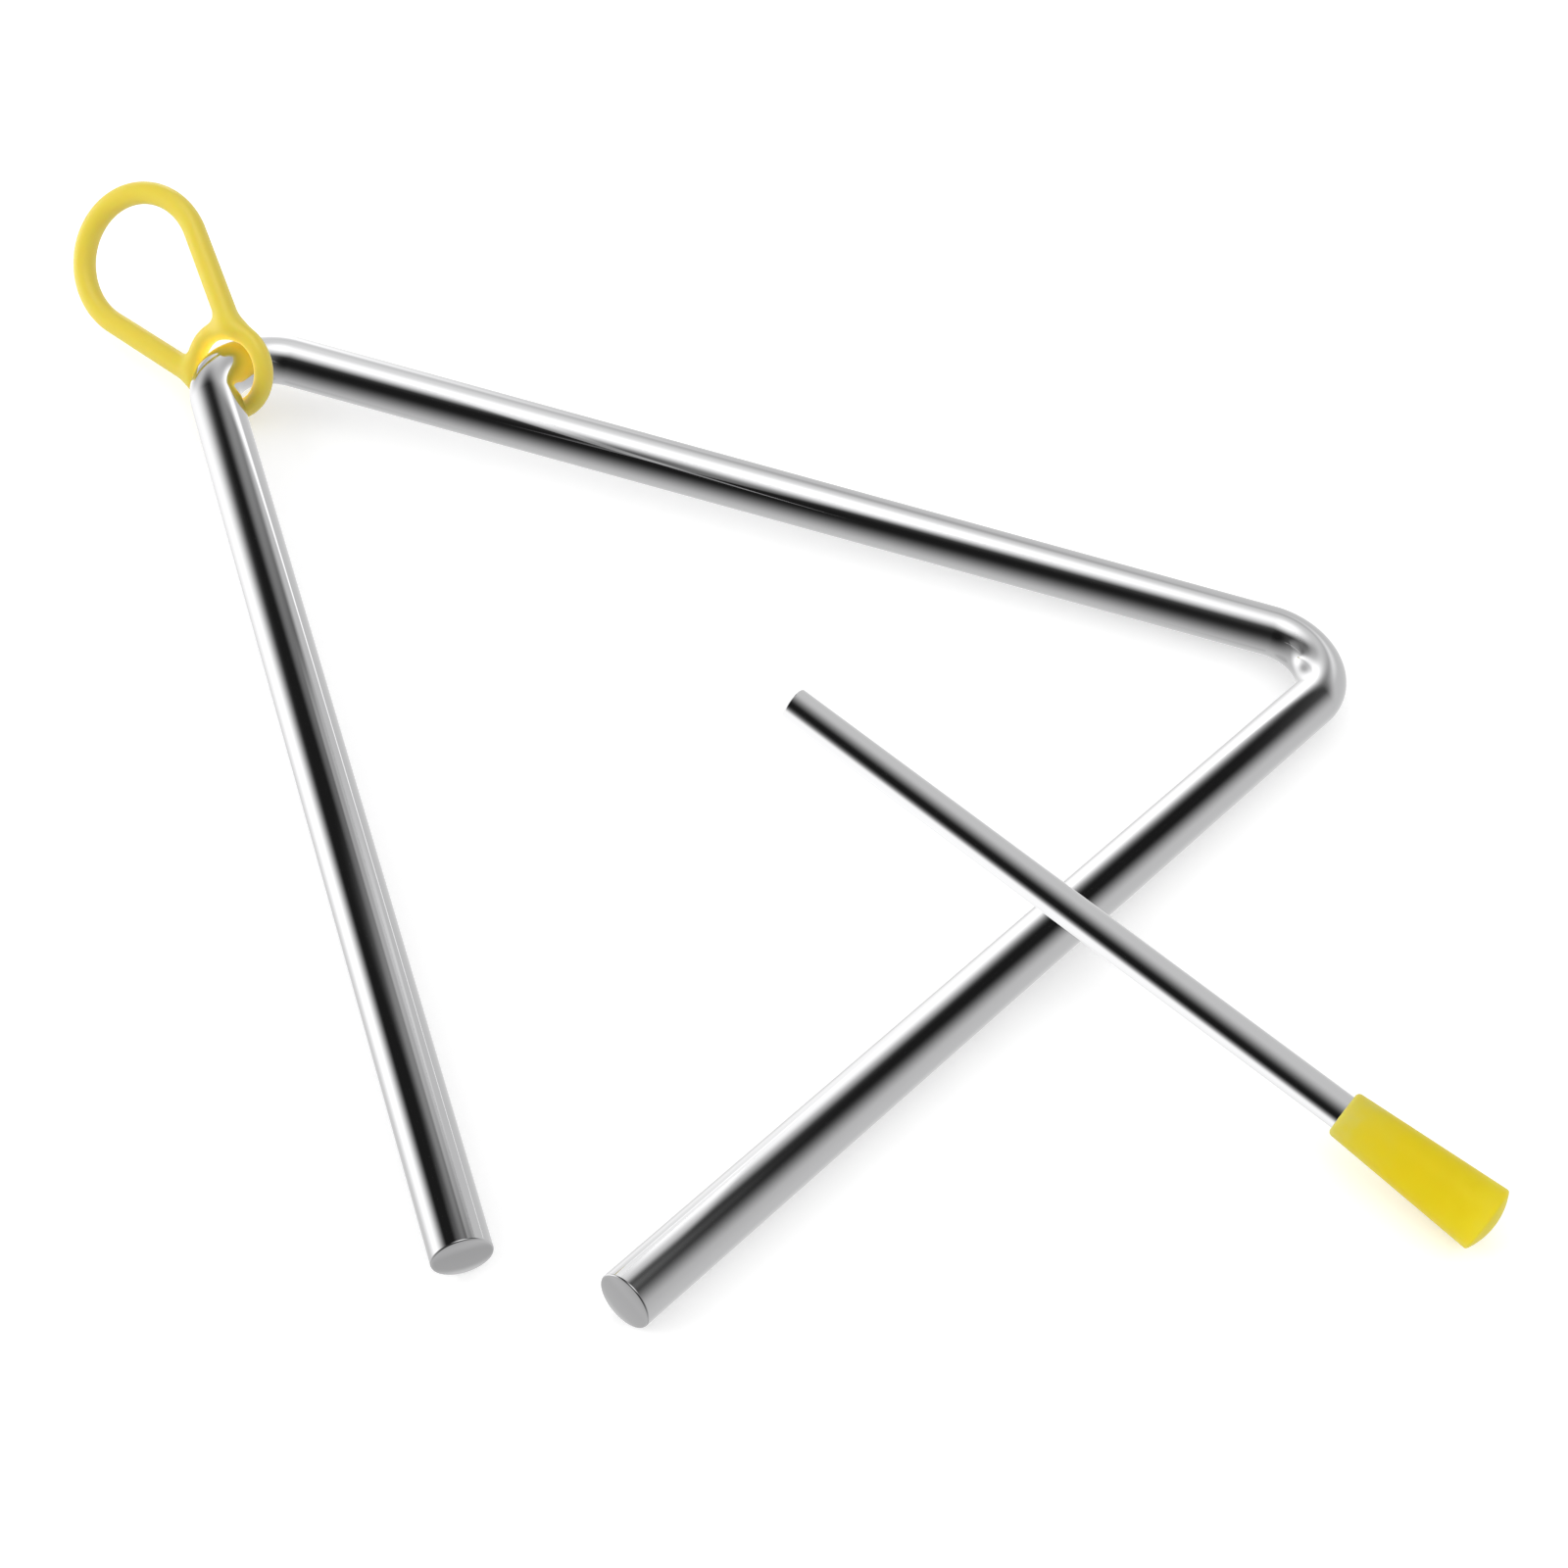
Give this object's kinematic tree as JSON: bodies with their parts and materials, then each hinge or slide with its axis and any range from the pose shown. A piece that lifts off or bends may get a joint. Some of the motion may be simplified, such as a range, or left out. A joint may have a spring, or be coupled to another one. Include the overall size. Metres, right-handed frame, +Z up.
{
  "type": "triangle instrument",
  "caption": "Triangle instrument: a round steel bar bent into a triangle that is open at one corner, a moulded hanger with a finger loop, and a beater with a soft grip.",
  "frame": {"origin": "On the table, below the middle of the whole part as it lies at rest.", "axes": "+X along the triangle's closed side, towards the corner under the beater; +Y away from the open corner; +Z up from the table."},
  "size_m": [0.256, 0.179, 0.0259],
  "materials": {
    "chromed_bar": "polished",
    "hanger_plastic": "satin, translucent yellow",
    "chromed_rod": "polished",
    "grip_plastic": "satin, soft yellow"
  },
  "bodies": {
    "triangle": {"triangle_bar": "chromed_bar"},
    "hanger": {"hanger": "hanger_plastic"},
    "beater": {"beater_rod": "chromed_rod", "beater_grip": "grip_plastic"}
  },
  "joints": [
    {"name": "hanger_turn", "type": "hinge", "parent": "triangle", "child": "hanger", "pos_m": [-0.09464, 0.06604, 0.00809], "axis": [0.3254, 0.8513, -0.4115], "continuous": true},
    {"name": "beater_lift", "type": "slide", "parent": "triangle", "child": "beater", "axis": [0, 0, 1], "range_m": [0, 0.1]}
  ]
}
